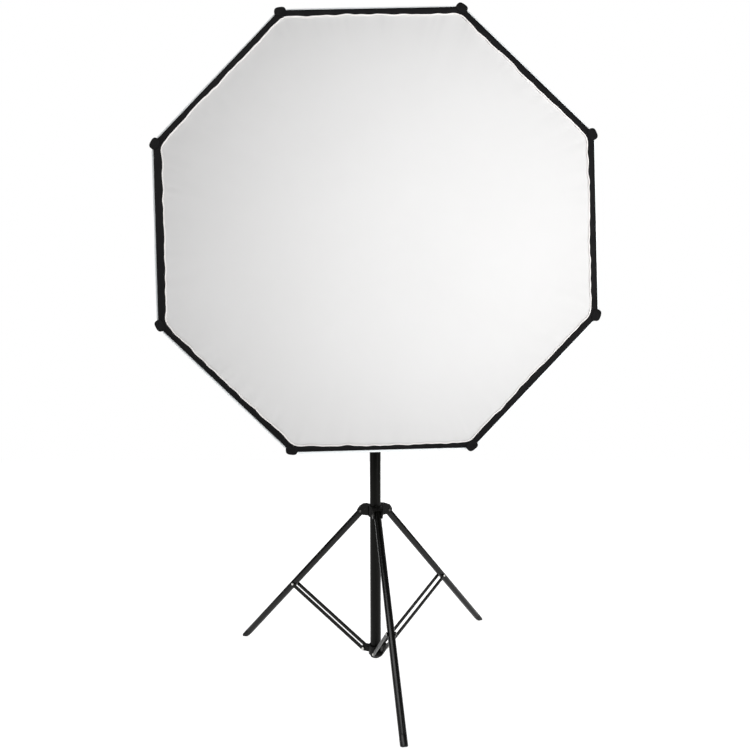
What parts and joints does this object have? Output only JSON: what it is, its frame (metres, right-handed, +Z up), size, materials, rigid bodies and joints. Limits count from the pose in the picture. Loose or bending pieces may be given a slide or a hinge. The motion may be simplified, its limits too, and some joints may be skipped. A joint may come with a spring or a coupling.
{
  "type": "studio softbox",
  "caption": "Large octagonal studio softbox on a lamp head, carried by a telescopic light stand with folding strutted legs.",
  "frame": {"origin": "point on the floor under the centre of the stand's column, which is where the column axis meets the plane of the three feet", "axes": "+Z up along the column, the overall height and longest extent; the softbox faces -Y, turned 0.66 degrees towards +X; +X is to the right seen from the front"},
  "size_m": [1.1608, 0.8188, 1.9242],
  "materials": {
    "column_black": "black anodised tube, semi-gloss",
    "casting_black": "black painted die casting, semi-gloss",
    "strut_black": "black zinc plated steel strip",
    "rivet_silver": "bright zinc rivet",
    "rubber_black": "matt moulded rubber",
    "knob_plastic": "moulded black nylon",
    "bare_aluminium": "machined, satin",
    "lamp_ceramic": "glazed",
    "lamp_plastic": "white moulded",
    "lamp_glass": "frosted white",
    "rod_steel": "spring steel",
    "nylon_black": "black nylon outside, silver lining inside",
    "rim_black": "black nylon binding",
    "diffuser_white": "white ripstop diffusion cloth"
  },
  "bodies": {
    "base": {"base_tube": "column_black", "bottom_plug": "rubber_black", "base_collar": "casting_black", "base_lock_collar": "casting_black", "strut_pin_front": "rivet_silver", "strut_pin_right": "rivet_silver", "strut_pin_left": "rivet_silver"},
    "shoulder": {"shoulder_collar": "casting_black", "leg_pin_front": "rivet_silver", "leg_pin_right": "rivet_silver", "leg_pin_left": "rivet_silver"},
    "shoulder_knob": {"shoulder_knob": "knob_plastic"},
    "leg_front": {"leg_front": "column_black", "foot_front": "rubber_black"},
    "leg_right": {"leg_right": "column_black", "foot_right": "rubber_black"},
    "leg_left": {"leg_left": "column_black", "foot_left": "rubber_black"},
    "strut_front": {"strut_bar_front_a": "strut_black", "strut_bar_front_b": "strut_black"},
    "strut_right": {"strut_bar_right_a": "strut_black", "strut_bar_right_b": "strut_black"},
    "strut_left": {"strut_bar_left_a": "strut_black", "strut_bar_left_b": "strut_black"},
    "base_lock_knob": {"base_lock_knob": "knob_plastic"},
    "middle_section": {"middle_tube": "column_black", "middle_lock_collar": "casting_black"},
    "middle_lock_knob": {"middle_lock_knob": "knob_plastic"},
    "top_section": {"top_tube": "column_black", "top_stud": "bare_aluminium"},
    "pan_head": {"stand_bracket": "casting_black", "tilt_bolt": "rivet_silver"},
    "bracket_knob": {"bracket_knob": "knob_plastic"},
    "tilt_handle": {"tilt_handle": "knob_plastic"},
    "lamp_head": {"head_foot": "casting_black", "lamp_housing": "casting_black", "rear_cover": "knob_plastic", "power_inlet": "knob_plastic", "socket_plate": "bare_aluminium", "lamp_socket": "lamp_ceramic", "lamp_ballast": "lamp_plastic", "lamp_globe": "lamp_glass", "speedring_insert": "bare_aluminium", "retaining_ring": "bare_aluminium"},
    "power_switch": {"power_switch": "knob_plastic"},
    "ring_lock_knob": {"ring_lock_knob": "knob_plastic"},
    "softbox": {"speedring": "bare_aluminium", "rod_1": "rod_steel", "rod_2": "rod_steel", "rod_3": "rod_steel", "rod_4": "rod_steel", "rod_5": "rod_steel", "rod_6": "rod_steel", "rod_7": "rod_steel", "rod_8": "rod_steel", "shell": "nylon_black", "rim_band": "rim_black", "front_diffuser": "diffuser_white", "inner_baffle": "diffuser_white"}
  },
  "joints": [
    {"name": "shoulder_slide", "type": "slide", "parent": "base", "child": "shoulder", "axis": [0, 0, 1], "range_m": [0, 0.2293]},
    {"name": "leg_front_fold", "type": "hinge", "parent": "shoulder", "child": "leg_front", "pos_m": [0.00698, -0.04597, 0.4941], "axis": [0.9887, 0.1502, 0], "range_deg": [0, 42.08]},
    {"name": "leg_right_fold", "type": "hinge", "parent": "shoulder", "child": "leg_right", "pos_m": [0.03632, 0.02904, 0.4941], "axis": [-0.6244, 0.7811, 0], "range_deg": [0, 42.08]},
    {"name": "leg_left_fold", "type": "hinge", "parent": "shoulder", "child": "leg_left", "pos_m": [-0.04331, 0.01694, 0.4941], "axis": [-0.3642, -0.9313, 0], "range_deg": [0, 42.08]},
    {"name": "strut_front_fold", "type": "hinge", "parent": "base", "child": "strut_front", "pos_m": [0.00604, -0.03974, 0.0337], "axis": [0.9887, 0.1502, 0], "range_deg": [-53.51, 0]},
    {"name": "strut_right_fold", "type": "hinge", "parent": "base", "child": "strut_right", "pos_m": [0.0314, 0.0251, 0.0337], "axis": [-0.6244, 0.7811, 0], "range_deg": [-53.51, 0]},
    {"name": "strut_left_fold", "type": "hinge", "parent": "base", "child": "strut_left", "pos_m": [-0.03744, 0.01464, 0.0337], "axis": [-0.3642, -0.9313, 0], "range_deg": [-53.51, 0]},
    {"name": "shoulder_knob_turn", "type": "hinge", "parent": "shoulder", "child": "shoulder_knob", "pos_m": [-0.00451, 0.02966, 0.496], "axis": [-0.1502, 0.9887, 0], "range_deg": [0, 270]},
    {"name": "base_lock_knob_turn", "type": "hinge", "parent": "base", "child": "base_lock_knob", "pos_m": [0, 0.03, 0.812], "axis": [0, 1, 0], "range_deg": [0, 270]},
    {"name": "middle_slide", "type": "slide", "parent": "base", "child": "middle_section", "axis": [0, 0, 1], "range_m": [-0.15, 0.45]},
    {"name": "middle_lock_knob_turn", "type": "hinge", "parent": "middle_section", "child": "middle_lock_knob", "pos_m": [0, 0.03, 1.018], "axis": [0, 1, 0], "range_deg": [0, 270]},
    {"name": "top_slide", "type": "slide", "parent": "middle_section", "child": "top_section", "axis": [0, 0, 1], "range_m": [-0.092, 0.48]},
    {"name": "pan", "type": "hinge", "parent": "top_section", "child": "pan_head", "pos_m": [0, 0, 1.1735], "axis": [0, 0, 1], "continuous": true},
    {"name": "bracket_knob_turn", "type": "hinge", "parent": "pan_head", "child": "bracket_knob", "pos_m": [-0.00035, 0.03, 1.1705], "axis": [-0.0115, 0.9999, 0], "range_deg": [0, 270]},
    {"name": "tilt", "type": "hinge", "parent": "pan_head", "child": "lamp_head", "pos_m": [0, 0, 1.2335], "axis": [0.9999, 0.0115, 0], "range_deg": [-40, 25]},
    {"name": "tilt_handle_turn", "type": "hinge", "parent": "pan_head", "child": "tilt_handle", "pos_m": [0.02, 0.00023, 1.2335], "axis": [0.9999, 0.0115, 0], "range_deg": [0, 60]},
    {"name": "power_switch_press", "type": "hinge", "parent": "lamp_head", "child": "power_switch", "pos_m": [-0.02385, 0.16025, 1.31588], "axis": [0.9999, 0.0115, 0], "range_deg": [0, 20]},
    {"name": "ring_lock_knob_turn", "type": "hinge", "parent": "lamp_head", "child": "ring_lock_knob", "pos_m": [0.00044, -0.03858, 1.38977], "axis": [-0.0115, 0.9972, -0.0738], "range_deg": [0, 270]},
    {"name": "softbox_rotation", "type": "hinge", "parent": "lamp_head", "child": "softbox", "pos_m": [0.00085, -0.07368, 1.31917], "axis": [0.0115, -0.9972, 0.0738], "continuous": true}
  ],
  "couplings": [
    {"joint": "leg_front_fold", "follows": "shoulder_slide", "rad_per_m": 3.2023},
    {"joint": "leg_right_fold", "follows": "shoulder_slide", "rad_per_m": 3.2023},
    {"joint": "leg_left_fold", "follows": "shoulder_slide", "rad_per_m": 3.2023},
    {"joint": "strut_front_fold", "follows": "shoulder_slide", "rad_per_m": -4.0721},
    {"joint": "strut_right_fold", "follows": "shoulder_slide", "rad_per_m": -4.0721},
    {"joint": "strut_left_fold", "follows": "shoulder_slide", "rad_per_m": -4.0721}
  ]
}
